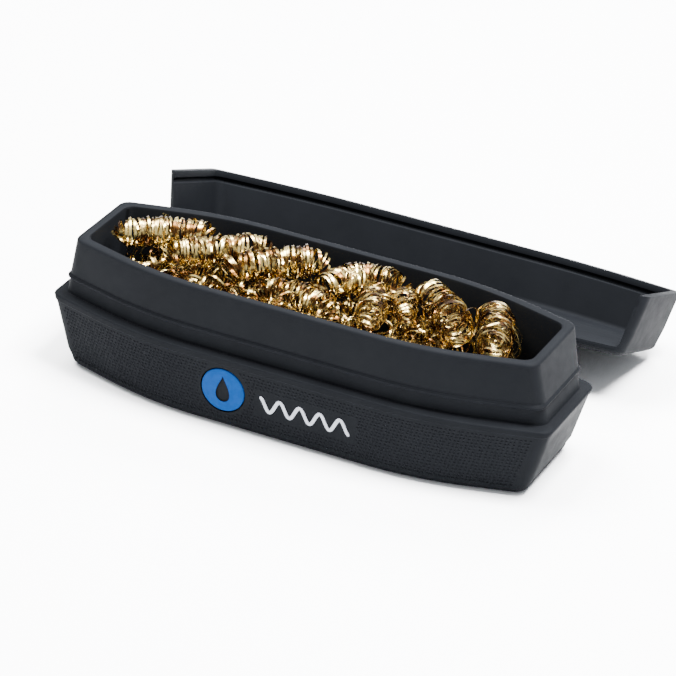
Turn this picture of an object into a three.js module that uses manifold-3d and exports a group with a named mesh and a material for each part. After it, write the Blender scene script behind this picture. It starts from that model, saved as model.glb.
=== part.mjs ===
// Tip cleaning brass: a silicone tray with a nest of curled brass ribbon, and a lid on a folding flap.
// Millimetres, +Z up. The tray stands on z = 0 with the origin under its middle and X along its length.
// The lid lies open behind the tray (+Y), on its back, and the flap joins the two along their long sides.
import * as THREE from "three";
import { mergeVertices } from "three/addons/utils/BufferGeometryUtils.js";
import Module from "manifold-3d";

const wasm = await Module();
wasm.setup();

// ---- driving dimensions ----

// Each outline is a long hexagon with bowed sides, given by its half length, its half width at the
// ends and its half width in the middle.
const size = (length, end, middle) => ({ length, end, middle });

// Share of the half length where the straight middle would meet the taper, and half the bend's span.
const BEND_AT = 0.59;
const BEND_SPAN = 0.21;
const CORNER_ROUND = 2.2;

const TRAY_HEIGHT = 31.2;
const LIP_HEIGHT = 17;
const TRAY_FLOOR = 2.5;
const TRAY_FOOT = size(55.4, 12.0, 18.8);
const TRAY_LIP = size(60.0, 12.2, 19.4);
const NECK_FOOT = size(57.8, 10.2, 17.0);
const NECK_TOP = size(55.3, 11.0, 17.3);
const HOLLOW_FOOT = size(52.2, 8.6, 14.8);
const HOLLOW_WAIST = size(54.4, 8.2, 14.6);
const HOLLOW_TOP = size(53.0, 9.0, 15.3);
const FOOT_ROUND = 2;
const LIP_ROUND = 0.5;
const RIM_ROUND = 0.7;

// A bead round the tray's neck snaps into a groove inside the lid.
const BEAD_HEIGHT = 21.3;
const BEAD_HALF_WIDTH = 0.6;
const BEAD_DEPTH = 0.4;
const GROOVE_BELOW_RIM = 2.1;
const GROOVE_HALF_WIDTH = 0.75;
const GROOVE_DEPTH = 0.5;

const LID_DEPTH = 14.4;
const LID_ROOF = 2.0;
const LID_RIM = size(60.0, 12.4, 19.5);
const LID_TOP = size(57.2, 12.5, 19.2);
const LID_HOLLOW_RIM = size(58.1, 11.0, 17.6);
const LID_HOLLOW_ROOF = size(55.9, 11.4, 17.6);
const LID_ROUND = 1.6;

// The flap turns on a crease at the tray's lip and on a crease at the foot of the lid's skirt.
const TRAY_HINGE = { y: 19.6, z: 16.0 };
const LID_HINGE_IN_LID = { y: -19.3, z: -9.1 };
const HINGE_HALF_LENGTH = 22;
const CREASE_RADIUS = 0.55;
const SKIRT_THICKNESS = 1.2;
const FLAP_THICKNESS = 1.1;
const FLAP_SETBACK = 1.3;

const LID_PLACE = { y: 52.88, z: 20.1 };
const LID_TILT = THREE.MathUtils.degToRad(-22);

const BADGE_PLACE = { x: -13.4, z: 9.2 };
const BADGE_RADIUS = 5.15;
const BADGE_THICKNESS = 0.7;
const BADGE_GAP = 0.3;

// Curls of ribbon lie in four layers, each with its height. A curl fills a bent tube of space, given by
// its radius, its middle's x and y, its heading in degrees from +X, its length, and its bow to the left.
const LAYERS = {
  top: {
    height: 27.4,
    curls: [
      [3.2, -42, 6.5, 28, 18, 1.2],
      [3.2, -27.5, 5, 38, 19, 0.3],
      [3.3, -14.5, 6, 41, 18, 0.8],
      [2.8, -3, -5, -2, 14, 1],
      [3.2, 4, 9.5, 37, 16, 4],
      [2.8, 13, -1.2, -70, 12, 0.5],
      [2.4, 18.3, 3, -58, 7, 0],
      [3.5, 28, 5.2, -46, 18, 1.2],
      [3.5, 40.5, 2.8, -67, 15, 0.8],
    ],
  },
  middle: {
    height: 20,
    curls: [
      [3.3, -36, -8, -13, 22, -1.5],
      [3.3, -6, -9.8, 0, 22, -0.5],
      [3.3, 22.5, -9.5, 3, 20, -0.5],
      [3, -30, 0.2, 2, 13, 0.5],
      [3, -6, -2.2, 0, 20, 0.5],
      [3, 21, -1.5, 0, 17, 0.5],
      [3.1, -35, 8, 4, 20, 1.2],
      [3.1, -13, 6.8, 0, 11, 1],
      [2.6, 2, 8.2, 48, 8, 1],
      [2.8, 18.5, 8.8, -24, 13, 0],
      [3.2, 41, 0.5, 88, 14, -1.2],
    ],
  },
  lower: {
    height: 13,
    curls: [
      [3.3, -28, 0.5, 0, 28, 1],
      [3.3, 10, 1, 0, 30, 1],
      [3.3, 37, -0.5, -62, 12, 0],
    ],
  },
  bottom: {
    height: 6.1,
    curls: [
      [3.3, -32, -6.5, -2, 28, -1],
      [3.3, -31, 6.5, 2, 28, 1],
      [3.3, 6, -7, 0, 28, -1],
      [3.3, 7, 7, 0, 28, 1],
      [3.3, 35.5, 0, 52, 14, 0],
    ],
  },
};

// ---- materials ----

const silicone = new THREE.MeshStandardMaterial({ color: 0x2d3036, roughness: 0.62, metalness: 0 });
const brass = new THREE.MeshStandardMaterial({ color: 0xc9a45a, roughness: 0.3, metalness: 1 });
const blue = new THREE.MeshStandardMaterial({ color: 0x3c82c8, roughness: 0.4, metalness: 0 });

// ---- outlines ----

const grown = (o, by) => size(o.length + by, o.end + by, o.middle + by);

function between(a, b, share) {
  const mix = (key) => THREE.MathUtils.lerp(a[key], b[key], share);
  return size(mix("length"), mix("end"), mix("middle"));
}

// Half width at a distance x from the middle: flat, then a parabola, then a straight taper.
function halfWidth(outline, x) {
  const share = Math.abs(x) / outline.length;
  const start = BEND_AT - BEND_SPAN;
  let fall = 0;
  if (share >= BEND_AT + BEND_SPAN) fall = share - BEND_AT;
  else if (share > start) fall = (share - start) ** 2 / (4 * BEND_SPAN);
  return outline.middle - ((outline.middle - outline.end) * fall) / (1 - BEND_AT);
}

// From the middle of a long side round the corner to the short side, all with x and y positive.
function quarter(outline) {
  const shares = [0, 0.2, 0.38, 0.45, 0.52, 0.59, 0.66, 0.73, 0.8, 0.88];
  const side = shares.map((share) => {
    const x = share * outline.length;
    return new THREE.Vector2(x, halfWidth(outline, x));
  });
  const cornerStart = outline.length - CORNER_ROUND;
  const corner = new THREE.QuadraticBezierCurve(
    new THREE.Vector2(cornerStart, halfWidth(outline, cornerStart)),
    new THREE.Vector2(outline.length, outline.end),
    new THREE.Vector2(outline.length, outline.end - CORNER_ROUND),
  );
  return [...side, ...corner.getPoints(4)];
}

// From the +X end round the far side to the -X end.
function farSide(outline) {
  const right = quarter(outline);
  const left = right.slice(1).map((p) => new THREE.Vector2(-p.x, p.y));
  return [...right.reverse(), ...left];
}

// The whole outline, anticlockwise seen from above.
function ring(outline) {
  const far = farSide(outline);
  const near = far.map((p) => new THREE.Vector2(-p.x, -p.y));
  return [...far, ...near];
}

// The far side of an outline, run straight out past the near side.
function openRing(outline, reach) {
  const right = new THREE.Vector2(outline.length, -reach);
  const left = new THREE.Vector2(-outline.length, -reach);
  return [right, ...farSide(outline), left];
}

const level = (outline, z) => ({ points: ring(outline), z });

// ---- solids ----

// A closed body through a stack of rings of equal point count, with flat caps on the first and last.
function loft(levels) {
  const count = levels[0].points.length;
  const index = [];
  for (let row = 0; row + 1 < levels.length; row++) {
    for (let i = 0; i < count; i++) {
      const a = row * count + i;
      const b = row * count + ((i + 1) % count);
      index.push(a, b, b + count, a, b + count, a + count);
    }
  }
  const top = (levels.length - 1) * count;
  const cap = ({ points }) => THREE.ShapeUtils.triangulateShape(points, []);
  cap(levels[0]).forEach(([a, b, c]) => index.push(a, c, b));
  cap(levels.at(-1)).forEach(([a, b, c]) => index.push(top + a, top + b, top + c));
  const position = levels.flatMap(({ points, z }) => points.flatMap((p) => [p.x, p.y, z]));
  const geometry = new THREE.BufferGeometry();
  geometry.setAttribute("position", new THREE.Float32BufferAttribute(position, 3));
  geometry.setIndex(index);
  geometry.computeVertexNormals();
  return geometry;
}

function toSolid(geometry) {
  const bare = geometry.clone();
  bare.deleteAttribute("normal");
  bare.deleteAttribute("uv");
  const merged = mergeVertices(bare, 1e-4);
  const vertProperties = new Float32Array(merged.attributes.position.array);
  const triVerts = new Uint32Array(merged.index.array);
  return new wasm.Manifold(new wasm.Mesh({ numProp: 3, vertProperties, triVerts }));
}

function toGeometry(solid) {
  const { vertProperties, triVerts } = solid.getMesh();
  const geometry = new THREE.BufferGeometry();
  geometry.setAttribute("position", new THREE.BufferAttribute(vertProperties, 3));
  geometry.setIndex(new THREE.BufferAttribute(triVerts, 1));
  geometry.computeVertexNormals();
  return geometry;
}

function join(first, ...rest) {
  return toGeometry(rest.reduce((solid, next) => solid.add(toSolid(next)), toSolid(first)));
}

function cut(first, ...rest) {
  return toGeometry(rest.reduce((solid, next) => solid.subtract(toSolid(next)), toSolid(first)));
}

// A round bar along the hinge's length.
function creaseBar({ y, z }) {
  const bar = new THREE.CylinderGeometry(CREASE_RADIUS, CREASE_RADIUS, 2 * HINGE_HALF_LENGTH, 12);
  return bar.rotateZ(Math.PI / 2).translate(0, y, z);
}

// ---- tray ----

// Rings round a rounded lower edge, from the flat underside up to the wall.
function roundedFoot(outline, z, radius) {
  return [0, 0.33, 0.67, 1].map((share) => {
    const turn = (share * Math.PI) / 2;
    return level(grown(outline, radius * (Math.sin(turn) - 1)), z + radius * (1 - Math.cos(turn)));
  });
}

const neckAt = (z) => between(NECK_FOOT, NECK_TOP, (z - LIP_HEIGHT) / (TRAY_HEIGHT - LIP_HEIGHT));

function trayOutside() {
  const beadFoot = BEAD_HEIGHT - BEAD_HALF_WIDTH;
  const beadTop = BEAD_HEIGHT + BEAD_HALF_WIDTH;
  return [
    ...roundedFoot(TRAY_FOOT, 0, FOOT_ROUND),
    level(TRAY_LIP, LIP_HEIGHT - LIP_ROUND),
    level(grown(TRAY_LIP, -LIP_ROUND), LIP_HEIGHT),
    level(NECK_FOOT, LIP_HEIGHT),
    level(neckAt(beadFoot), beadFoot),
    level(grown(neckAt(BEAD_HEIGHT), BEAD_DEPTH), BEAD_HEIGHT),
    level(neckAt(beadTop), beadTop),
    level(NECK_TOP, TRAY_HEIGHT - RIM_ROUND),
    level(grown(NECK_TOP, -RIM_ROUND), TRAY_HEIGHT),
  ];
}

function trayInside() {
  return [
    level(grown(HOLLOW_TOP, RIM_ROUND), TRAY_HEIGHT),
    level(HOLLOW_TOP, TRAY_HEIGHT - RIM_ROUND),
    level(HOLLOW_WAIST, LIP_HEIGHT),
    ...roundedFoot(HOLLOW_FOOT, TRAY_FLOOR, FOOT_ROUND).reverse(),
  ];
}

function trayShell() {
  const shell = loft([...trayOutside(), ...trayInside()]);
  return cut(join(shell, creaseBar(TRAY_HINGE)), badgePocket());
}

// ---- badge ----

// A disc square to the tray's front wall, which leans out as it rises. Depth is from the wall's
// surface to the disc's outer face.
function wallDisc(radius, thickness, depth) {
  const lean = Math.atan2(TRAY_LIP.middle - TRAY_FOOT.middle, LIP_HEIGHT);
  const wall = between(TRAY_FOOT, TRAY_LIP, BADGE_PLACE.z / LIP_HEIGHT).middle;
  return new THREE.CylinderGeometry(radius, radius, thickness, 40)
    .rotateX(lean)
    .translate(BADGE_PLACE.x, depth + thickness / 2 - wall, BADGE_PLACE.z);
}

function badgePocket() {
  const outside = 2;
  const pocketDepth = BADGE_THICKNESS + BADGE_GAP;
  return wallDisc(BADGE_RADIUS + BADGE_GAP, outside + pocketDepth, -outside);
}

// ---- lid, in its own frame: rim on z = 0, roof below, open side towards -Y ----

function lidOutside() {
  const edge = 0.3 * LID_ROUND;
  return [
    level(grown(LID_TOP, -LID_ROUND), -LID_DEPTH),
    level(grown(LID_TOP, -edge), edge - LID_DEPTH),
    level(LID_TOP, LID_ROUND - LID_DEPTH),
    level(LID_RIM, 0),
  ];
}

function lidInside() {
  const roof = LID_ROOF - LID_DEPTH;
  const above = 1;
  const open = (outline, z) => ({ points: openRing(outline, LID_RIM.middle + 5), z });
  const wallAt = (z) => between(LID_HOLLOW_RIM, LID_HOLLOW_ROOF, z / roof);
  const groove = -GROOVE_BELOW_RIM;
  return [
    open(LID_HOLLOW_ROOF, roof),
    open(wallAt(groove - GROOVE_HALF_WIDTH), groove - GROOVE_HALF_WIDTH),
    open(grown(wallAt(groove), GROOVE_DEPTH), groove),
    open(wallAt(groove + GROOVE_HALF_WIDTH), groove + GROOVE_HALF_WIDTH),
    open(LID_HOLLOW_RIM, 0),
    open(LID_HOLLOW_RIM, above),
  ];
}

// Stands on the middle of the roof's near edge and carries the lid's crease.
function skirt() {
  const inRoof = 0.6;
  const height = LID_HINGE_IN_LID.z + LID_DEPTH - LID_ROOF + inRoof;
  const outerFace = -LID_TOP.middle;
  return new THREE.BoxGeometry(2 * HINGE_HALF_LENGTH, SKIRT_THICKNESS, height).translate(
    0,
    outerFace + SKIRT_THICKNESS / 2,
    LID_HINGE_IN_LID.z - height / 2,
  );
}

function lidShell() {
  const cover = cut(loft(lidOutside()), loft(lidInside()));
  return join(cover, skirt(), creaseBar(LID_HINGE_IN_LID));
}

// ---- flap ----

// The lid's crease as the lid lies open, seen along X.
function lidHinge() {
  const { y, z } = LID_HINGE_IN_LID;
  return new THREE.Vector2(y, z)
    .rotateAround(new THREE.Vector2(), LID_TILT)
    .add(new THREE.Vector2(LID_PLACE.y, LID_PLACE.z));
}

function flapPlate(span) {
  const plate = new THREE.BoxGeometry(2 * HINGE_HALF_LENGTH, span - 2 * FLAP_SETBACK, FLAP_THICKNESS);
  return plate.translate(0, span / 2, 0);
}

// ---- brass ----

// Start, middle and end of a curl's axis.
function curlAxis([, x, y, heading, length, bow], height) {
  const up = new THREE.Vector3(0, 0, 1);
  const along = new THREE.Vector3(length / 2, 0, 0).applyAxisAngle(up, THREE.MathUtils.degToRad(heading));
  const middle = new THREE.Vector3(x, y, height);
  const fallBack = along.clone().setLength(bow).applyAxisAngle(up, -Math.PI / 2);
  return [middle.clone().sub(along).add(fallBack), middle, middle.clone().add(along).add(fallBack)];
}

function curlTube(curl, height) {
  const section = new THREE.Shape().absarc(0, 0, curl[0], 0, 2 * Math.PI);
  const extrudePath = new THREE.CatmullRomCurve3(curlAxis(curl, height));
  return new THREE.ExtrudeGeometry(section, { steps: 7, curveSegments: 5, extrudePath });
}

// ---- assembly ----

function named(name, geometry, material) {
  const mesh = new THREE.Mesh(geometry, material);
  mesh.name = name;
  return mesh;
}

function lidGroup() {
  const group = new THREE.Group();
  group.position.set(0, LID_PLACE.y, LID_PLACE.z);
  group.rotation.x = LID_TILT;
  group.add(named("lid_shell", lidShell(), silicone));
  return group;
}

function flapGroup() {
  const start = new THREE.Vector2(TRAY_HINGE.y, TRAY_HINGE.z);
  const run = lidHinge().sub(start);
  const group = new THREE.Group();
  group.position.set(0, TRAY_HINGE.y, TRAY_HINGE.z);
  group.rotation.x = run.angle();
  group.add(named("hinge_flap", flapPlate(run.length()), silicone));
  return group;
}

function brassGroup() {
  const group = new THREE.Group();
  for (const [layer, { height, curls }] of Object.entries(LAYERS)) {
    curls.forEach((curl, i) => {
      group.add(named(`brass_curl_${layer}_${i + 1}`, curlTube(curl, height), brass));
    });
  }
  return group;
}

const part = new THREE.Group();
part.add(named("tray_shell", trayShell(), silicone));
part.add(named("badge_disc", wallDisc(BADGE_RADIUS, BADGE_THICKNESS, 0), blue));
part.add(flapGroup(), lidGroup(), brassGroup());

export default part;
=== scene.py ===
"""Tip cleaning brass: a silicone tray full of curled brass ribbon, with its lid open on a folding flap.

Lengths below are millimetres, and every mesh is scaled to metres as it is made. +X runs along the
tray, +Y towards the open lid and +Z up, with the origin under the middle of the tray.
"""

import math

import bmesh
import bpy
import numpy as np
from mathutils import Matrix, Vector


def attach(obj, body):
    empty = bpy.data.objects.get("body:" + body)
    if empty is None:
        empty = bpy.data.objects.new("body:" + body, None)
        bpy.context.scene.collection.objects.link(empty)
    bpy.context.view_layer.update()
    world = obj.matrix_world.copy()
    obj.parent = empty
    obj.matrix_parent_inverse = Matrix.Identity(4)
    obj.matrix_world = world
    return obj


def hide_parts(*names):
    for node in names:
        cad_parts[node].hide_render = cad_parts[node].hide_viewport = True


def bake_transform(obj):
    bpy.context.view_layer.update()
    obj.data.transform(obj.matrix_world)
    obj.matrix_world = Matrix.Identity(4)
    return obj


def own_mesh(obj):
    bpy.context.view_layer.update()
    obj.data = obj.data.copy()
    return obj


MM = 0.001
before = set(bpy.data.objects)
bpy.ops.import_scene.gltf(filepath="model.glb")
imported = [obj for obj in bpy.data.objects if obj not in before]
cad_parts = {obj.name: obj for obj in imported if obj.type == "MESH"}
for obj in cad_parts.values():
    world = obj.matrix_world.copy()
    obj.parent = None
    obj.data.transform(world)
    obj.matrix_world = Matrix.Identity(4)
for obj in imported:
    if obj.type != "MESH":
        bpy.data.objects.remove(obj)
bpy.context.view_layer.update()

# ---- sizes of the moulding, each outline as half length, half width at the ends, half width in the middle

BEND_AT = 0.59
BEND_SPAN = 0.21
CORNER_ROUND = 2.2

TRAY_HEIGHT = 31.2
LIP_HEIGHT = 17.0
TRAY_FLOOR = 2.5
TRAY_FOOT = np.array((55.4, 12.0, 18.8))
TRAY_LIP = np.array((60.0, 12.2, 19.4))
NECK_FOOT = np.array((57.8, 10.2, 17.0))
NECK_TOP = np.array((55.3, 11.0, 17.3))
HOLLOW_FOOT = np.array((52.2, 8.6, 14.8))
HOLLOW_WAIST = np.array((54.4, 8.2, 14.6))
HOLLOW_TOP = np.array((53.0, 9.0, 15.3))
FOOT_ROUND = 2.0
BEAD_HEIGHT = 21.3
BORDER_HEIGHT = 1.5
BORDER_STEP = 0.18
BORDER_EASE = 0.12
WALL_START = 4
LIP_ROUND = 0.45
RIM_ROUND = 0.7
TRAY_SHARP = 32
KNURL_MARGIN = 2.7

# Steps of each small profile, as how far it stands out and how far it is above its height.
NECK_FILLET = ((0.35, 0.0), (0.1, 0.1), (0.0, 0.4))
BEAD_BELOW = 0.65
BEAD_PROFILE = ((0.28, -0.42), (0.42, -0.15), (0.42, 0.1), (0.22, 0.38), (0.0, 0.6))
RIM_EDGE = ((0.5, 0.0), (0.15, -0.15), (0.0, -0.5))
GROOVE_EDGE = 0.7
GROOVE_PROFILE = ((0.4, -0.4), (0.5, 0.0), (0.4, 0.4))

LID_DEPTH = 14.4
LID_ROOF = 2.0
LID_RIM = np.array((60.0, 12.4, 19.5))
LID_TOP = np.array((57.2, 12.5, 19.2))
LID_HOLLOW_RIM = np.array((58.1, 11.0, 17.6))
LID_HOLLOW_ROOF = np.array((55.9, 11.4, 17.6))
LID_ROUND = 1.6
LID_PLACE = (0.0, 52.88, 20.1)
LID_TILT = math.radians(-22)
GROOVE_BELOW_RIM = 2.1
ROOF_ROUND = 1.2
LID_EDGE = 0.3

TRAY_HINGE = np.array((19.6, 16.0))
LID_HINGE_IN_LID = np.array((-19.3, -9.1))
HINGE_HALF_LENGTH = 22.0
CREASE_RADIUS = 0.55
SKIRT_THICKNESS = 1.2
SKIRT_OVERLAP = 0.6
FLAP_THICKNESS = 1.1
FLAP_SETBACK = 1.3
FLAP_EDGE = 0.35
WEB_REACH = 1.6
WEB_THICKNESS = 0.4

BADGE_X, BADGE_Z = -13.4, 9.2
BADGE_RADIUS = 5.15
BADGE_THICKNESS = 0.7
BADGE_GAP = 0.3
BADGE_EDGE = 0.25
DROP_DEPTH = 0.35

WAVE_MIDDLE = 6.4
WAVE_HALF_LENGTH = 11.2
WAVE_HEIGHT = 2.0
WAVE_Z = 8.6

# The curls of ribbon lie in four layers, each with its height. A curl is its outer radius, its middle's x
# and y, its heading in degrees from +X, its length, and its bow to the left, as in the CAD model.
LAYERS = {
    "top": (27.4, [
        (3.2, -42, 6.5, 28, 18, 1.2),
        (3.2, -27.5, 5, 38, 19, 0.3),
        (3.3, -14.5, 6, 41, 18, 0.8),
        (2.8, -3, -5, -2, 14, 1),
        (3.2, 4, 9.5, 37, 16, 4),
        (2.8, 13, -1.2, -70, 12, 0.5),
        (2.4, 18.3, 3, -58, 7, 0),
        (3.5, 28, 5.2, -46, 18, 1.2),
        (3.5, 40.5, 2.8, -67, 15, 0.8),
    ]),
    "middle": (20, [
        (3.3, -36, -8, -13, 22, -1.5),
        (3.3, -6, -9.8, 0, 22, -0.5),
        (3.3, 22.5, -9.5, 3, 20, -0.5),
        (3, -30, 0.2, 2, 13, 0.5),
        (3, -6, -2.2, 0, 20, 0.5),
        (3, 21, -1.5, 0, 17, 0.5),
        (3.1, -35, 8, 4, 20, 1.2),
        (3.1, -13, 6.8, 0, 11, 1),
        (2.6, 2, 8.2, 48, 8, 1),
        (2.8, 18.5, 8.8, -24, 13, 0),
        (3.2, 41, 0.5, 88, 14, -1.2),
    ]),
    "lower": (13, [
        (3.3, -28, 0.5, 0, 28, 1),
        (3.3, 10, 1, 0, 30, 1),
        (3.3, 37, -0.5, -62, 12, 0),
    ]),
    "bottom": (6.1, [
        (3.3, -32, -6.5, -2, 28, -1),
        (3.3, -31, 6.5, 2, 28, 1),
        (3.3, 6, -7, 0, 28, -1),
        (3.3, 7, 7, 0, 28, 1),
        (3.3, 35.5, 0, 52, 14, 0),
    ]),
}


# ---- camera, floor and light

VIEW_AZIMUTH = 24.53
VIEW_ELEVATION = 28.86
VIEW_ROLL = 3.3
VIEW_TARGET = (3.36, 2.53, 16.64)
VIEW_DISTANCE = 770.1
LENS = 188.0
SENSOR_WIDTH = 36.0

# Each light's place and side in metres, and its power in watts.
LIGHTS = {
    "key": ((0.30, 0.10, 0.95), 0.35, 85.0),
    "fill": ((-0.40, 0.05, 0.90), 0.5, 40.0),
    "back": ((-0.1, 0.7, 0.8), 0.4, 22.0),
}
LIGHT_AIM = (0, 0.02, 0.015)


def camera():
    """A long lens in front of the tray and above it, towards +X, and slightly rolled."""
    azimuth, elevation, roll = (math.radians(a) for a in (VIEW_AZIMUTH, VIEW_ELEVATION, VIEW_ROLL))
    target = Vector(VIEW_TARGET) * MM
    distance = VIEW_DISTANCE * MM
    back = Vector((
        math.sin(azimuth) * math.cos(elevation),
        -math.cos(azimuth) * math.cos(elevation),
        math.sin(elevation),
    ))
    right = Vector((math.cos(azimuth), math.sin(azimuth), 0))
    up = back.cross(right)
    turned_right = math.cos(roll) * right + math.sin(roll) * up
    turned_up = math.cos(roll) * up - math.sin(roll) * right
    data = bpy.data.cameras.new("camera")
    data.lens = LENS
    data.sensor_width = SENSOR_WIDTH
    data.clip_start = 0.05
    data.clip_end = 20.0
    view = bpy.data.objects.new("camera", data)
    bpy.context.scene.collection.objects.link(view)
    axes = Matrix((turned_right, turned_up, back)).transposed().to_4x4()
    view.matrix_world = Matrix.Translation(target + back * distance) @ axes
    bpy.context.scene.camera = view


def area_light(name, place, size, power):
    data = bpy.data.lights.new(name, "AREA")
    data.shape = "SQUARE"
    data.size = size
    data.energy = power
    lamp = bpy.data.objects.new(name, data)
    bpy.context.scene.collection.objects.link(lamp)
    lamp.location = place
    aim = Vector(LIGHT_AIM) - Vector(place)
    lamp.rotation_euler = aim.to_track_quat("-Z", "Y").to_euler()


def stage():
    """A pale sky, three soft lights and a white paper floor."""
    world = bpy.data.worlds.new("studio")
    bpy.context.scene.world = world
    world.use_nodes = True
    background = world.node_tree.nodes["Background"]
    background.inputs["Color"].default_value = (0.93, 0.96, 1.0, 1)
    background.inputs["Strength"].default_value = 1.0
    for name, (place, side, power) in LIGHTS.items():
        area_light(name, place, side, power)

    size = 4.0
    mesh = bpy.data.meshes.new("floor")
    corners = [(-size, -size, 0), (size, -size, 0), (size, size, 0), (-size, size, 0)]
    mesh.from_pydata(corners, [], [(0, 1, 2, 3)])
    floor = bpy.data.objects.new("floor", mesh)
    bpy.context.scene.collection.objects.link(floor)
    material, shader, _ = new_material("floor_paper")
    shader.inputs["Base Color"].default_value = (0.94, 0.945, 0.955, 1)
    shader.inputs["Roughness"].default_value = 0.9
    shader.inputs["Specular IOR Level"].default_value = 0.1
    mesh.materials.append(material)


# ---- materials

def new_material(name):
    material = bpy.data.materials.new(name)
    material.use_nodes = True
    tree = material.node_tree
    return material, tree.nodes["Principled BSDF"], tree


def object_noise(tree, scale, detail=2.0, roughness=0.5):
    """Noise fixed to the object; scale is features per millimetre."""
    place = tree.nodes.new("ShaderNodeTexCoord")
    noise = tree.nodes.new("ShaderNodeTexNoise")
    noise.inputs["Scale"].default_value = scale / MM
    noise.inputs["Detail"].default_value = detail
    noise.inputs["Roughness"].default_value = roughness
    tree.links.new(place.outputs["Object"], noise.inputs["Vector"])
    return noise.outputs["Fac"]


def ramp(tree, source, low, high, start=0.3, end=0.7):
    """A colour ramp from low to high over the given span of the source."""
    node = tree.nodes.new("ShaderNodeValToRGB")
    node.color_ramp.elements[0].position = start
    node.color_ramp.elements[1].position = end
    node.color_ramp.elements[0].color = (*low, 1)
    node.color_ramp.elements[1].color = (*high, 1)
    tree.links.new(source, node.inputs["Fac"])
    return node.outputs["Color"]


def span(tree, source, low, high):
    """The source, 0 to 1, mapped to low to high."""
    node = tree.nodes.new("ShaderNodeMapRange")
    node.inputs["To Min"].default_value = low
    node.inputs["To Max"].default_value = high
    tree.links.new(source, node.inputs["Value"])
    return node.outputs["Result"]


def bump(tree, shader, source, distance, strength):
    node = tree.nodes.new("ShaderNodeBump")
    node.inputs["Distance"].default_value = distance * MM
    node.inputs["Strength"].default_value = strength
    tree.links.new(source, node.inputs["Height"])
    tree.links.new(node.outputs["Normal"], shader.inputs["Normal"])


def silicone_material(name, dark, light):
    """Matt moulded silicone: a faint cloudy tone and a very fine grain."""
    material, shader, tree = new_material(name)
    cloud = object_noise(tree, 0.09, 4.0, 0.65)
    tree.links.new(ramp(tree, cloud, dark, light), shader.inputs["Base Color"])
    tree.links.new(span(tree, object_noise(tree, 0.4, 3.0), 0.5, 0.72), shader.inputs["Roughness"])
    shader.inputs["Specular IOR Level"].default_value = 0.015
    bump(tree, shader, object_noise(tree, 6.0, 2.0), 0.03, 0.35)
    return material


def brass_material():
    """Bright thin ribbon: warm gold, with tarnish in patches and a fine grain."""
    material, shader, tree = new_material("brass_ribbon")
    patch = object_noise(tree, 0.35, 3.0, 0.6)
    tone = ramp(tree, patch, (0.090, 0.040, 0.011), (0.76, 0.59, 0.22), 0.45, 0.60)
    tree.links.new(tone, shader.inputs["Base Color"])
    shader.inputs["Metallic"].default_value = 1.0
    tree.links.new(span(tree, object_noise(tree, 1.6, 2.0), 0.16, 0.34), shader.inputs["Roughness"])
    bump(tree, shader, object_noise(tree, 2.5, 2.0), 0.05, 0.4)
    return material


def print_material(name, low, high, roughness):
    """Ink or coloured silicone with a faint mottle."""
    material, shader, tree = new_material(name)
    tree.links.new(ramp(tree, object_noise(tree, 0.8, 3.0), low, high), shader.inputs["Base Color"])
    shader.inputs["Roughness"].default_value = roughness
    shader.inputs["Specular IOR Level"].default_value = 0.02
    bump(tree, shader, object_noise(tree, 8.0), 0.02, 0.3)
    return material


# ---- outlines and meshes

def half_width(outline, x):
    """Half width at x: flat in the middle, then a parabola, then a straight taper to the end."""
    length, end, middle = outline
    share = np.abs(x) / length
    start = BEND_AT - BEND_SPAN
    curve = (share - start) ** 2 / (4 * BEND_SPAN)
    fall = np.where(share >= BEND_AT + BEND_SPAN, share - BEND_AT, np.where(share > start, curve, 0))
    return middle - (middle - end) * fall / (1 - BEND_AT)


def far_side(outline, corner=CORNER_ROUND, side_steps=34, corner_steps=8):
    """Points from the +X end round the far side to the -X end."""
    length, end, _ = outline
    x = np.linspace(0, length - corner, side_steps, endpoint=False)
    side = np.column_stack((x, half_width(outline, x)))
    first = np.array((length - corner, half_width(outline, length - corner)))
    tip = np.array((length, end))
    last = np.array((length, end - corner))
    t = np.linspace(0, 1, corner_steps + 1)[:, None]
    bend = (1 - t) ** 2 * first + 2 * t * (1 - t) * tip + t**2 * last
    right = np.vstack((side, bend))
    left = right[1:] * (-1, 1)
    return np.vstack((right[::-1], left))


def ring(outline):
    """The whole outline: its far side and the same turned half way round."""
    far = far_side(outline)
    return np.vstack((far, -far))


def open_ring(outline, reach):
    """The outline's far side, run straight on towards -Y by reach."""
    length = outline[0]
    return np.vstack(((length, -reach), far_side(outline), (-length, -reach)))


def arc(outline, z, radius, start, end, steps=5):
    """Levels round a rounded edge whose centre is at height z, radius inside the outline.
    Angles are in quarter turns: 0 points straight out, 1 straight up and -1 straight down."""
    levels = []
    for quarter in np.linspace(start, end, steps + 1):
        angle = quarter * math.pi / 2
        inset = radius * (1 - math.cos(angle))
        levels.append((outline - inset, z + radius * math.sin(angle)))
    return levels


def loft(levels, points=ring):
    """Vertices and faces of a closed body through a stack of outlines, lowest first on the outside."""
    rows = [np.column_stack((points(o), np.full(len(points(o)), z))) for o, z in levels]
    count = len(rows[0])
    faces = []
    for row in range(len(rows) - 1):
        for i in range(count):
            a = row * count + i
            b = row * count + (i + 1) % count
            faces.append((a, b, b + count, a + count))
    top = (len(rows) - 1) * count
    faces.append(tuple(range(count - 1, -1, -1)))
    faces.append(tuple(range(top, top + count)))
    return np.vstack(rows), faces


def face_outwards(mesh):
    work = bmesh.new()
    work.from_mesh(mesh)
    bmesh.ops.recalc_face_normals(work, faces=work.faces)
    work.to_mesh(mesh)
    work.free()


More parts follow.
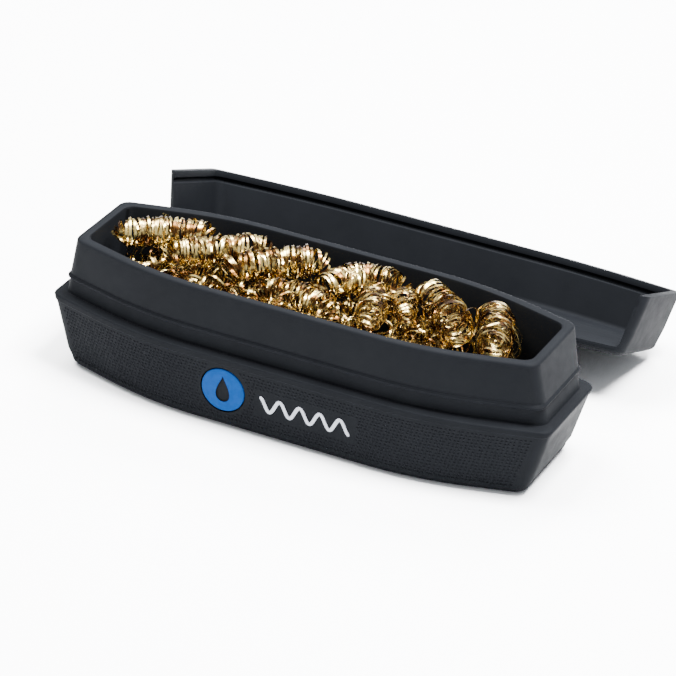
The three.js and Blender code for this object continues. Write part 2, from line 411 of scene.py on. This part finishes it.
def make(name, vertices, faces, material, sharp=35):
    """A smooth-shaded object from millimetre vertices, with edges sharper than the angle kept crisp."""
    mesh = bpy.data.meshes.new(name)
    mesh.from_pydata((np.asarray(vertices) * MM).tolist(), [], faces)
    mesh.validate()
    face_outwards(mesh)
    mesh.shade_smooth()
    mesh.set_sharp_from_angle(angle=math.radians(sharp))
    if material is not None:
        mesh.materials.append(material)
    piece = bpy.data.objects.new(name, mesh)
    bpy.context.scene.collection.objects.link(piece)
    return piece


def box(low, high):
    """Vertices and faces of a box between two corners."""
    corners = [(x, y, z) for x in (low[0], high[0]) for y in (low[1], high[1]) for z in (low[2], high[2])]
    faces = [(0, 1, 3, 2), (4, 6, 7, 5), (0, 4, 5, 1), (2, 3, 7, 6), (0, 2, 6, 4), (1, 5, 7, 3)]
    return np.array(corners), faces


def apply_modifiers(piece):
    graph = bpy.context.evaluated_depsgraph_get()
    made = bpy.data.meshes.new_from_object(piece.evaluated_get(graph))
    piece.modifiers.clear()
    piece.data = made


def carve(piece, cutter, operation="DIFFERENCE"):
    """Cuts the cutter from the piece, or joins it on, and removes the cutter."""
    modifier = piece.modifiers.new("carve", "BOOLEAN")
    modifier.operation = operation
    modifier.solver = "EXACT"
    modifier.object = cutter
    bpy.context.view_layer.update()
    apply_modifiers(piece)
    bpy.data.objects.remove(cutter)


def soften(piece, width, segments=2, angle=50):
    """Rounds the piece's hard edges."""
    modifier = piece.modifiers.new("soften", "BEVEL")
    modifier.width = width * MM
    modifier.segments = segments
    modifier.limit_method = "ANGLE"
    modifier.angle_limit = math.radians(angle)
    modifier.use_clamp_overlap = True
    bpy.context.view_layer.update()
    apply_modifiers(piece)
    piece.data.shade_smooth()
    piece.data.set_sharp_from_angle(angle=math.radians(40))


def finish_piece(piece, body, slot, *nodes):
    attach(piece, body)
    if nodes:
        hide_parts(*nodes)


# ---- tray

def mix(a, b, share):
    return a + (b - a) * share


def neck(z):
    return mix(NECK_FOOT, NECK_TOP, (z - LIP_HEIGHT) / (TRAY_HEIGHT - LIP_HEIGHT))


def wall(z):
    return mix(TRAY_FOOT, TRAY_LIP, z / LIP_HEIGHT)


def tray_levels():
    """The tray's outlines up the outside from the foot, over the rim and down the hollow to its floor."""
    border_foot = LIP_HEIGHT - BORDER_HEIGHT
    levels = arc(TRAY_FOOT, FOOT_ROUND, FOOT_ROUND, -1, 0, 8)
    levels += [(wall(z), z) for z in np.linspace(WALL_START, border_foot - BORDER_EASE, 5)]
    levels += [(wall(border_foot) + BORDER_STEP, border_foot + BORDER_EASE)]
    levels += arc(TRAY_LIP + BORDER_STEP / 2, LIP_HEIGHT - LIP_ROUND, LIP_ROUND, 0, 1, 4)
    levels += [(NECK_FOOT + out, LIP_HEIGHT + rise) for out, rise in NECK_FILLET]
    levels += [(neck(BEAD_HEIGHT - BEAD_BELOW), BEAD_HEIGHT - BEAD_BELOW)]
    levels += [(neck(BEAD_HEIGHT) + out, BEAD_HEIGHT + rise) for out, rise in BEAD_PROFILE]
    levels += arc(NECK_TOP, TRAY_HEIGHT - RIM_ROUND, RIM_ROUND, 0, 1, 5)
    levels += [(HOLLOW_TOP + out, TRAY_HEIGHT + rise) for out, rise in RIM_EDGE]
    levels += [(HOLLOW_WAIST, LIP_HEIGHT)]
    levels += [(o, z + TRAY_FLOOR) for o, z in arc(HOLLOW_FOOT, FOOT_ROUND, FOOT_ROUND, 0, -1, 8)]
    return levels


def crease_bar(y, z):
    """A thin round bar along the hinge, with rounded ends."""
    sides = 16
    rows = []
    for x, radius in ((-1, 0.5), (-0.992, 1), (0.992, 1), (1, 0.5)):
        turn = np.arange(sides) * 2 * math.pi / sides
        across = np.column_stack((np.cos(turn), np.sin(turn))) * CREASE_RADIUS * radius
        rows.append(np.column_stack((np.full(sides, x * HINGE_HALF_LENGTH), across + (y, z))))
    faces = [
        (r * sides + i, r * sides + (i + 1) % sides, (r + 1) * sides + (i + 1) % sides, (r + 1) * sides + i)
        for r in range(3)
        for i in range(sides)
    ]
    faces += [tuple(range(sides - 1, -1, -1)), tuple(range(3 * sides, 4 * sides))]
    return np.vstack(rows), faces


def wall_point(x, z, side, proud=0.0):
    """A point on the tray's long side: side is -1 for the front and 1 for the back."""
    return np.array((x, side * (half_width(wall(z), x) + proud), z))


def in_badge_area(x, z):
    near_disc = math.hypot(x - BADGE_X, z - BADGE_Z) < BADGE_RADIUS + 1.0
    near_wave = abs(x - WAVE_MIDDLE) < WAVE_HALF_LENGTH + 1.0 and abs(z - WAVE_Z) < WAVE_HEIGHT + 1.2
    return near_disc or near_wave


def knurl(side):
    """Rows of small domes over one long side, half a pitch out of step, clear of the badge."""
    pitch, radius, height, sides = 0.92, 0.37, 0.17, 6
    rng = np.random.default_rng(11)
    vertices, faces = [], []
    rows = np.arange(2.4, LIP_HEIGHT - BORDER_HEIGHT - 0.5, pitch * 0.866)
    turn = np.arange(sides) * 2 * math.pi / sides
    for row, row_z in enumerate(rows):
        reach = wall(row_z)[0] - KNURL_MARGIN
        for x in np.arange(-reach + (row % 2) * pitch / 2, reach, pitch):
            x, z = x + rng.normal(0, 0.07), row_z + rng.normal(0, 0.06)
            if side < 0 and in_badge_area(x, z):
                continue
            first = len(vertices)
            for reach_share, proud in ((1.0, -0.05), (0.5, 0.75 * height)):
                across = radius * reach_share
                vertices += [
                    wall_point(x + across * math.cos(a), z + across * math.sin(a), side, proud) for a in turn
                ]
            vertices.append(wall_point(x, z, side, height))
            for i in range(sides):
                j = (i + 1) % sides
                quad = (first + i, first + j, first + sides + j, first + sides + i)
                cap = (first + sides + i, first + sides + j, first + 2 * sides)
                faces += [quad, cap] if side < 0 else [quad[::-1], cap[::-1]]
            base = tuple(range(first, first + sides))
            faces.append(base[::-1] if side < 0 else base)
    return vertices, faces


def tray():
    vertices, faces = loft(tray_levels())
    piece = make("tray", vertices, faces, rubber, TRAY_SHARP)
    centre = wall_point(BADGE_X, BADGE_Z, -1)
    floor, mouth = BADGE_THICKNESS + BADGE_GAP, -2.0
    carve(piece, disc_solid("pocket", BADGE_RADIUS + BADGE_GAP, centre, mouth, floor, None))
    piece.data.materials.clear()
    piece.data.materials.append(rubber)
    piece.data.shade_smooth()
    piece.data.set_sharp_from_angle(angle=math.radians(TRAY_SHARP))
    finish_piece(piece, "tray", "silicone", "tray_shell")
    crease = make("tray_crease", *crease_bar(*TRAY_HINGE), rubber, 40)
    finish_piece(crease, "tray", "silicone")
    for side, name in ((-1, "knurl_front"), (1, "knurl_back")):
        dots = make(name, *knurl(side), rubber, 80)
        finish_piece(dots, "tray", "silicone")


# ---- badge

def disc_solid(name, radius, centre, front, back, material, sides=64, edge=0.0):
    """A disc square to the front wall, from front to back behind its surface, with a rounded front edge."""
    lean = math.atan2(TRAY_LIP[2] - TRAY_FOOT[2], LIP_HEIGHT)
    turn = np.arange(sides) * 2 * math.pi / sides
    profile = [(radius, back), (radius, front + edge)]
    if edge:
        profile += [(radius - 0.3 * edge, front + 0.3 * edge), (radius - edge, front)]
    rows = [np.column_stack((r * np.cos(turn), np.full(sides, y), r * np.sin(turn))) for r, y in profile]
    tilt = np.array(Matrix.Rotation(lean, 3, "X"))
    vertices = np.vstack(rows) @ tilt.T + centre
    faces = [tuple(range(sides))]
    for r in range(len(profile) - 1):
        for i in range(sides):
            j = (i + 1) % sides
            faces.append((r * sides + j, r * sides + i, (r + 1) * sides + i, (r + 1) * sides + j))
    last = (len(profile) - 1) * sides
    faces.append(tuple(range(last + sides - 1, last - 1, -1)))
    return make(name, vertices, faces, material)


def drop_solid(centre, front, back, material):
    """A teardrop prism, point up, for the badge's recess."""
    sides = 48
    turn = np.arange(sides) * 2 * math.pi / sides
    x = 2.4 * np.sin(turn) * np.sin(turn / 2) ** 1.5
    z = 3.2 * np.cos(turn) + 0.3
    rows = [np.column_stack((x, np.full(sides, y), z)) for y in (back, front)]
    faces = [tuple(range(sides - 1, -1, -1)), tuple(range(sides, 2 * sides))]
    faces += [(i, (i + 1) % sides, sides + (i + 1) % sides, sides + i) for i in range(sides)]
    return make("drop", np.vstack(rows) + centre, faces, material)


def badge():
    centre = wall_point(BADGE_X, BADGE_Z, -1)
    front = -0.05
    disc = disc_solid("badge", BADGE_RADIUS, centre, front, BADGE_THICKNESS, badge_blue, 96, BADGE_EDGE)
    disc.data.materials.append(rubber)
    carve(disc, drop_solid(centre, -0.6, DROP_DEPTH, rubber))
    disc.data.shade_smooth()
    disc.data.set_sharp_from_angle(angle=math.radians(30))
    finish_piece(disc, "tray", "badge", "badge_disc")
    finish_piece(make("badge_wave", *wave(), badge_white, 60), "tray", "badge")


def wave():
    """A printed wavy line, as of a coil seen from the side, just proud of the wall."""
    steps, turns, half_stroke, proud, sunk = 220, 4.5, 0.42, 0.12, -0.05
    swing = WAVE_HEIGHT * 0.8
    t = np.linspace(-1, 1, steps)
    x = WAVE_MIDDLE + t * (WAVE_HALF_LENGTH - half_stroke)
    z = WAVE_Z - swing * np.sin(t * turns * math.pi)
    along = np.gradient(np.column_stack((x, z)), axis=0)
    along /= np.linalg.norm(along, axis=1)[:, None]
    across = np.column_stack((-along[:, 1], along[:, 0]))
    end = np.abs(t) * (WAVE_HALF_LENGTH - half_stroke) - (WAVE_HALF_LENGTH - 2 * half_stroke)
    stroke = half_stroke * np.sqrt(np.clip(1 - (np.clip(end, 0, None) / half_stroke) ** 2, 0.02, 1))
    vertices = []
    for i in range(steps):
        for offset, height in ((-1, sunk), (-0.85, proud), (0.85, proud), (1, sunk)):
            px, pz = np.array((x[i], z[i])) + across[i] * stroke[i] * offset
            vertices.append(wall_point(px, pz, -1, height))
    faces = []
    for i in range(steps - 1):
        for k in range(4):
            a, b = 4 * i + k, 4 * i + (k + 1) % 4
            faces.append((a, a + 4, b + 4, b))
    faces += [(0, 1, 2, 3), tuple(4 * (steps - 1) + k for k in (3, 2, 1, 0))]
    return vertices, faces


# ---- lid and flap

def to_lid_place(piece):
    piece.data.transform(Matrix.Translation(Vector(LID_PLACE) * MM) @ Matrix.Rotation(LID_TILT, 4, "X"))


def lid_hollow_levels():
    """Outlines of the lid's hollow from its roof, past the groove, to above the rim."""
    roof = LID_ROOF - LID_DEPTH
    groove = -GROOVE_BELOW_RIM

    def inner(z):
        return mix(LID_HOLLOW_RIM, LID_HOLLOW_ROOF, z / roof)

    levels = arc(inner(roof + ROOF_ROUND), roof + ROOF_ROUND, ROOF_ROUND, -1, 0, 5)
    levels += [(inner(groove - GROOVE_EDGE), groove - GROOVE_EDGE)]
    levels += [(inner(groove) + out, groove + rise) for out, rise in GROOVE_PROFILE]
    levels += [(inner(groove + GROOVE_EDGE), groove + GROOVE_EDGE)]
    levels += [(LID_HOLLOW_RIM, 0.0), (LID_HOLLOW_RIM, 1.0)]
    return levels


def lid():
    levels = arc(LID_TOP, LID_ROUND - LID_DEPTH, LID_ROUND, -1, 0, 7)
    levels += [(mix(LID_RIM, LID_TOP, z / -LID_DEPTH), z) for z in (-9.0, -5.0)] + [(LID_RIM, 0.0)]
    piece = make("lid", *loft(levels), rubber, 40)
    reach = LID_RIM[2] + 5
    hollow = make("hollow", *loft(lid_hollow_levels(), lambda o: open_ring(o, reach)), None)
    carve(piece, hollow)
    outer_face = -LID_TOP[2]
    skirt_foot = LID_ROOF - LID_DEPTH - SKIRT_OVERLAP
    low = (-HINGE_HALF_LENGTH, outer_face, skirt_foot)
    high = (HINGE_HALF_LENGTH, outer_face + SKIRT_THICKNESS, LID_HINGE_IN_LID[1])
    carve(piece, make("skirt", *box(low, high), None), "UNION")
    piece.data.materials.clear()
    piece.data.materials.append(rubber)
    soften(piece, LID_EDGE)
    to_lid_place(piece)
    finish_piece(piece, "lid", "silicone", "lid_shell")
    crease = make("lid_crease", *crease_bar(*LID_HINGE_IN_LID), rubber, 40)
    to_lid_place(crease)
    finish_piece(crease, "lid", "silicone")


def lid_hinge():
    """The lid's crease as the lid lies open, seen along X."""
    y, z = LID_HINGE_IN_LID
    c, s = math.cos(LID_TILT), math.sin(LID_TILT)
    return np.array((c * y - s * z + LID_PLACE[1], s * y + c * z + LID_PLACE[2]))


def strip(name, start, end, thickness, steps=12):
    """A flat strip along the hinge between two points seen along X, in short steps."""
    along = (end - start) / np.linalg.norm(end - start)
    across = np.array((-along[1], along[0])) * thickness / 2
    rows = []
    for share in np.linspace(0, 1, steps + 1):
        centre = mix(start, end, share)
        for x in (-HINGE_HALF_LENGTH, HINGE_HALF_LENGTH):
            rows += [(x, *(centre - across)), (x, *(centre + across))]
    faces = []
    for i in range(steps):
        a = 4 * i
        faces += [(a, a + 4, a + 6, a + 2), (a + 1, a + 3, a + 7, a + 5)]
        faces += [(a, a + 1, a + 5, a + 4), (a + 2, a + 6, a + 7, a + 3)]
    last = 4 * steps
    faces += [(0, 2, 3, 1), (last, last + 1, last + 3, last + 2)]
    return make(name, rows, faces, rubber, 50)


def flap():
    start, end = TRAY_HINGE, lid_hinge()
    along = (end - start) / np.linalg.norm(end - start)
    plate = strip("flap", start + along * FLAP_SETBACK, end - along * FLAP_SETBACK, FLAP_THICKNESS)
    soften(plate, FLAP_EDGE, 3)
    finish_piece(plate, "flap", "silicone", "hinge_flap")
    for name, axis, bodies in (("tray_web", start, ("tray", "flap")), ("lid_web", end, ("flap", "lid"))):
        low, high = axis - along * WEB_REACH, axis + along * WEB_REACH
        piece = strip(name, low, high, WEB_THICKNESS)
        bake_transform(piece)


# ---- brass

RIBBON_WIDTH = 0.55
LOOSE_WIDTH = 0.4
RIBBON_THICKNESS = 0.06
RIBBON_PITCH = 0.78
RIBBON_STEPS = 26
TUCK_LENGTH = 1.8
TUCK_DROP = 1.3
TAPER_START = 0.55
TAPER_RISE = 0.45
BUNCHING = 0.5
RADIUS_WOBBLE = 0.085
RADIUS_LIMIT = 0.8
LEAN_WOBBLE = 0.24
TWIST = 0.25
TWIST_WOBBLE = 0.38
WIDTH_WOBBLE = 0.14
WALL_MARGIN = 0.5
FLOOR_MARGIN = 0.4
ABOVE_RIM = 1.6
PROUD = 1.3

LOOP_TURNS = (0.8, 1.9)
LOOP_WOBBLE = 0.07
LOOPS_PER_CURL = 12
SPRUNG_SPREAD = (1.2, 1.2, 0.4)
MAT_LOOPS = 230
MAT_X = (-48.5, 41.5)
MAT_ACROSS = (-0.72, 0.76)
MAT_HEIGHT = (19.0, 23.8)
MAT_RADIUS = (2.0, 3.4)


def curl_axis(curl, height):
    """Start, middle and end of a curl's axis."""
    _, x, y, heading, length, bow = curl
    turn = math.radians(heading)
    along = np.array((math.cos(turn), math.sin(turn), 0.0)) * length / 2
    fall_back = np.array((math.sin(turn), -math.cos(turn), 0.0)) * bow
    middle = np.array((x, y, height))
    return middle - along + fall_back, middle, middle + along + fall_back


def axis_curve(points, steps):
    """A smooth curve through three points."""
    p = list(points)
    ends = [2 * p[0] - p[1], *p, 2 * p[2] - p[1]]
    places = []
    for s in np.linspace(0, 2, steps):
        k = min(int(s), 1)
        t = s - k
        a, b, c, d = ends[k:k + 4]
        places.append(
            0.5 * (2 * b + (c - a) * t + (2 * a - 5 * b + 4 * c - d) * t**2 + (3 * b - a - 3 * c + d) * t**3)
        )
    return np.array(places)


def wobble(rng, count, knots, amount):
    """Smooth random values, about one bend for each knot."""
    at = np.linspace(0, 1, max(4, knots))
    return np.interp(np.linspace(0, 1, count), at, rng.normal(0, amount, len(at)))


def unit(rows):
    return rows / np.linalg.norm(rows, axis=1)[:, None]


def along_curve(curve, lengths, travel):
    return np.column_stack([np.interp(travel * lengths[-1], lengths, curve[:, k]) for k in range(3)])


def ribbon_body(path, outward, rng, width, knots):
    """A flat ribbon along a path, its broad side turned mostly outwards."""
    count = len(path)
    forward = unit(np.gradient(path, axis=0))
    flat = unit(np.cross(forward, outward))
    face = np.cross(flat, forward)
    twist = TWIST + wobble(rng, count, knots, TWIST_WOBBLE)
    broad = flat * np.cos(twist)[:, None] + face * np.sin(twist)[:, None]
    thin = np.cross(forward, broad) * RIBBON_THICKNESS / 2
    half = broad * (width / 2 * (1 + wobble(rng, count, knots, WIDTH_WOBBLE)))[:, None]
    corners = np.stack((path - half - thin, path + half - thin, path + half + thin, path - half + thin), 1)
    faces = [
        (4 * i + k, 4 * i + (k + 1) % 4, 4 * i + 4 + (k + 1) % 4, 4 * i + 4 + k)
        for i in range(count - 1)
        for k in range(4)
    ]
    faces += [(3, 2, 1, 0), tuple(4 * (count - 1) + k for k in range(4))]
    return corners.reshape(-1, 3), faces


def keep_in_tray(path):
    """Pulls a ribbon's points inside the tray's hollow, and under the height that the lid can press down."""
    height = path[:, 2:]
    upper = np.clip((height - LIP_HEIGHT) / (TRAY_HEIGHT - LIP_HEIGHT), 0, 1)
    lower = np.clip((height - TRAY_FLOOR) / (LIP_HEIGHT - TRAY_FLOOR), 0, 1)
    above_lip = mix(HOLLOW_WAIST, HOLLOW_TOP, upper)
    room = np.where(height > LIP_HEIGHT, above_lip, mix(HOLLOW_FOOT, HOLLOW_WAIST, lower)) - WALL_MARGIN
    path[:, 0] = np.clip(path[:, 0], -room[:, 0], room[:, 0])
    side = half_width(room.T, path[:, 0])
    path[:, 1] = np.clip(path[:, 1], -side, side)
    path[:, 2] = np.clip(path[:, 2], TRAY_FLOOR + FLOOR_MARGIN, TRAY_HEIGHT + ABOVE_RIM)
    return path


def tucked_ends(axis):
    """The axis run on at both ends, dipping into the nest so that the curl doesn't stop square."""
    dip = np.array((0.0, 0.0, -TUCK_DROP))
    steps = np.linspace(1, 0, 6, endpoint=False)[:, None]
    out = unit(np.array([axis[0] - axis[1], axis[-1] - axis[-2]])) * TUCK_LENGTH
    before = axis[0] + out[0] * steps + dip * steps**2
    after = (axis[-1] + out[1] * steps + dip * steps**2)[::-1]
    return np.vstack((before, axis, after))


def curl_ribbon(curl, height, rng):
    """One curl: a thin ribbon wound round a bent axis, its turns bunched, leaning and uneven."""
    radius = curl[0]
    coarse = tucked_ends(axis_curve(curl_axis(curl, height), 60))
    lengths = np.concatenate(([0], np.cumsum(np.linalg.norm(np.diff(coarse, axis=0), axis=1))))
    turns = lengths[-1] / RIBBON_PITCH
    count = int(turns * RIBBON_STEPS)
    at = np.linspace(0, 1, count)
    travel = at + wobble(rng, count, int(turns), BUNCHING * RIBBON_PITCH / lengths[-1])
    travel = np.clip(np.maximum.accumulate(travel), 0, 1)
    centre = along_curve(coarse, lengths, travel)
    tangent = unit(along_curve(np.gradient(coarse, axis=0), lengths, travel))
    side = unit(np.cross(tangent, (0.0, 0.0, 1.0)))
    lift = np.cross(side, tangent)
    turn = at * turns * 2 * math.pi + rng.uniform(0, 2 * math.pi)
    reach = radius * (1.0 + wobble(rng, count, int(turns * 1.5), RADIUS_WOBBLE))
    taper = np.minimum(at, 1 - at) * lengths[-1] / (2 * TUCK_LENGTH)
    narrowed = np.clip(TAPER_START + TAPER_RISE * taper, TAPER_START, 1)
    reach = np.minimum(reach, radius + RADIUS_LIMIT) * narrowed
    lean = wobble(rng, count, int(turns), LEAN_WOBBLE)
    radial = side * np.cos(turn)[:, None] + lift * np.sin(turn)[:, None]
    path = centre + radial * reach[:, None] + tangent * (lean * reach * np.cos(turn))[:, None]
    path = keep_in_tray(path)
    return ribbon_body(path, radial, rng, RIBBON_WIDTH, int(turns * 3))


def loose_loop(centre, axis, radius, rng):
    """One or two stray turns of narrow ribbon about an axis."""
    axis = axis / np.linalg.norm(axis)
    side = np.cross(axis, (0.0, 0.0, 1.0))
    side /= np.linalg.norm(side)
    lift = np.cross(side, axis)
    turns = rng.uniform(*LOOP_TURNS)
    turn = np.linspace(0, turns * 2 * math.pi, int(turns * RIBBON_STEPS)) + rng.uniform(0, 2 * math.pi)
    reach = radius * (1 + wobble(rng, len(turn), 5, LOOP_WOBBLE))
    radial = side * np.cos(turn)[:, None] + lift * np.sin(turn)[:, None]
    rise = axis * np.linspace(-0.5, 0.5, len(turn))[:, None] * turns * RIBBON_PITCH
    path = keep_in_tray(centre + radial * reach[:, None] + rise)
    return ribbon_body(path, radial, rng, LOOSE_WIDTH, 6)


def sprung_loop(curl, height, rng):
    """A loop that has sprung out of a curl."""
    start, middle, end = curl_axis(curl, height)
    centre = mix(mix(start, end, rng.uniform(-0.05, 1.05)), middle, 0.4)
    centre = centre + rng.normal(0, 1, 3) * SPRUNG_SPREAD
    axis = (end - start) / np.linalg.norm(end - start) + rng.normal(0, 0.4, 3)
    return loose_loop(centre, axis, curl[0] * rng.uniform(0.7, 1.08), rng)


def mat_loop(rng):
    """A loop of the tangled mat that fills the space between the upper curls."""
    x = rng.uniform(*MAT_X)
    y = rng.uniform(*MAT_ACROSS) * half_width(HOLLOW_WAIST, x)
    centre = np.array((x, y, rng.uniform(*MAT_HEIGHT)))
    axis = np.array((rng.normal(), rng.normal(), rng.normal(0, 0.5)))
    return loose_loop(centre, axis, rng.uniform(*MAT_RADIUS), rng)


def joined(bodies):
    """One mesh of several bodies."""
    vertices, faces = [], []
    for places, sides in bodies:
        first = len(vertices)
        vertices += places.tolist()
        faces += [tuple(first + k for k in side) for side in sides]
    return vertices, faces


def strays(rng):
    """The loops that have sprung out of the top curls, as one body of vertices and faces."""
    height, curls = LAYERS["top"]
    sprung = [sprung_loop(curl, height + PROUD, rng) for curl in curls for _ in range(LOOPS_PER_CURL)]
    return joined(sprung)


def mat(rng):
    """The tangled mat, as one body of vertices and faces."""
    return joined([mat_loop(rng) for _ in range(MAT_LOOPS)])


def press_down(piece):
    """The springy top of the nest stands a little proud; this only gives the piece a mesh of its own."""
    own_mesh(piece)


def brass_nest():
    rng = np.random.default_rng(7)
    for layer, (height, curls) in LAYERS.items():
        for i, curl in enumerate(curls):
            stand = PROUD if layer == "top" else 0.0
            piece = make(f"ribbon_{layer}_{i + 1}", *curl_ribbon(curl, height + stand, rng), gold, 50)
            finish_piece(piece, "tray", "brass", f"brass_curl_{layer}_{i + 1}")
            if layer == "top":
                press_down(piece)
    loops = make("ribbon_strays", *strays(rng), gold, 50)
    finish_piece(loops, "tray", "brass")
    press_down(loops)
    finish_piece(make("ribbon_mat", *mat(rng), gold, 50), "tray", "brass")


# ---- the whole scene

rubber = silicone_material("silicone_dark", (0.0037, 0.0041, 0.0050), (0.0045, 0.0050, 0.0060))
gold = brass_material()
badge_blue = print_material("badge_blue", (0.0008, 0.022, 0.098), (0.0012, 0.027, 0.115), 0.5)
badge_white = print_material("badge_white", (0.26, 0.27, 0.30), (0.33, 0.34, 0.37), 0.5)

camera()
stage()
tray()
badge()
lid()
flap()
brass_nest()

bpy.context.view_layer.update()
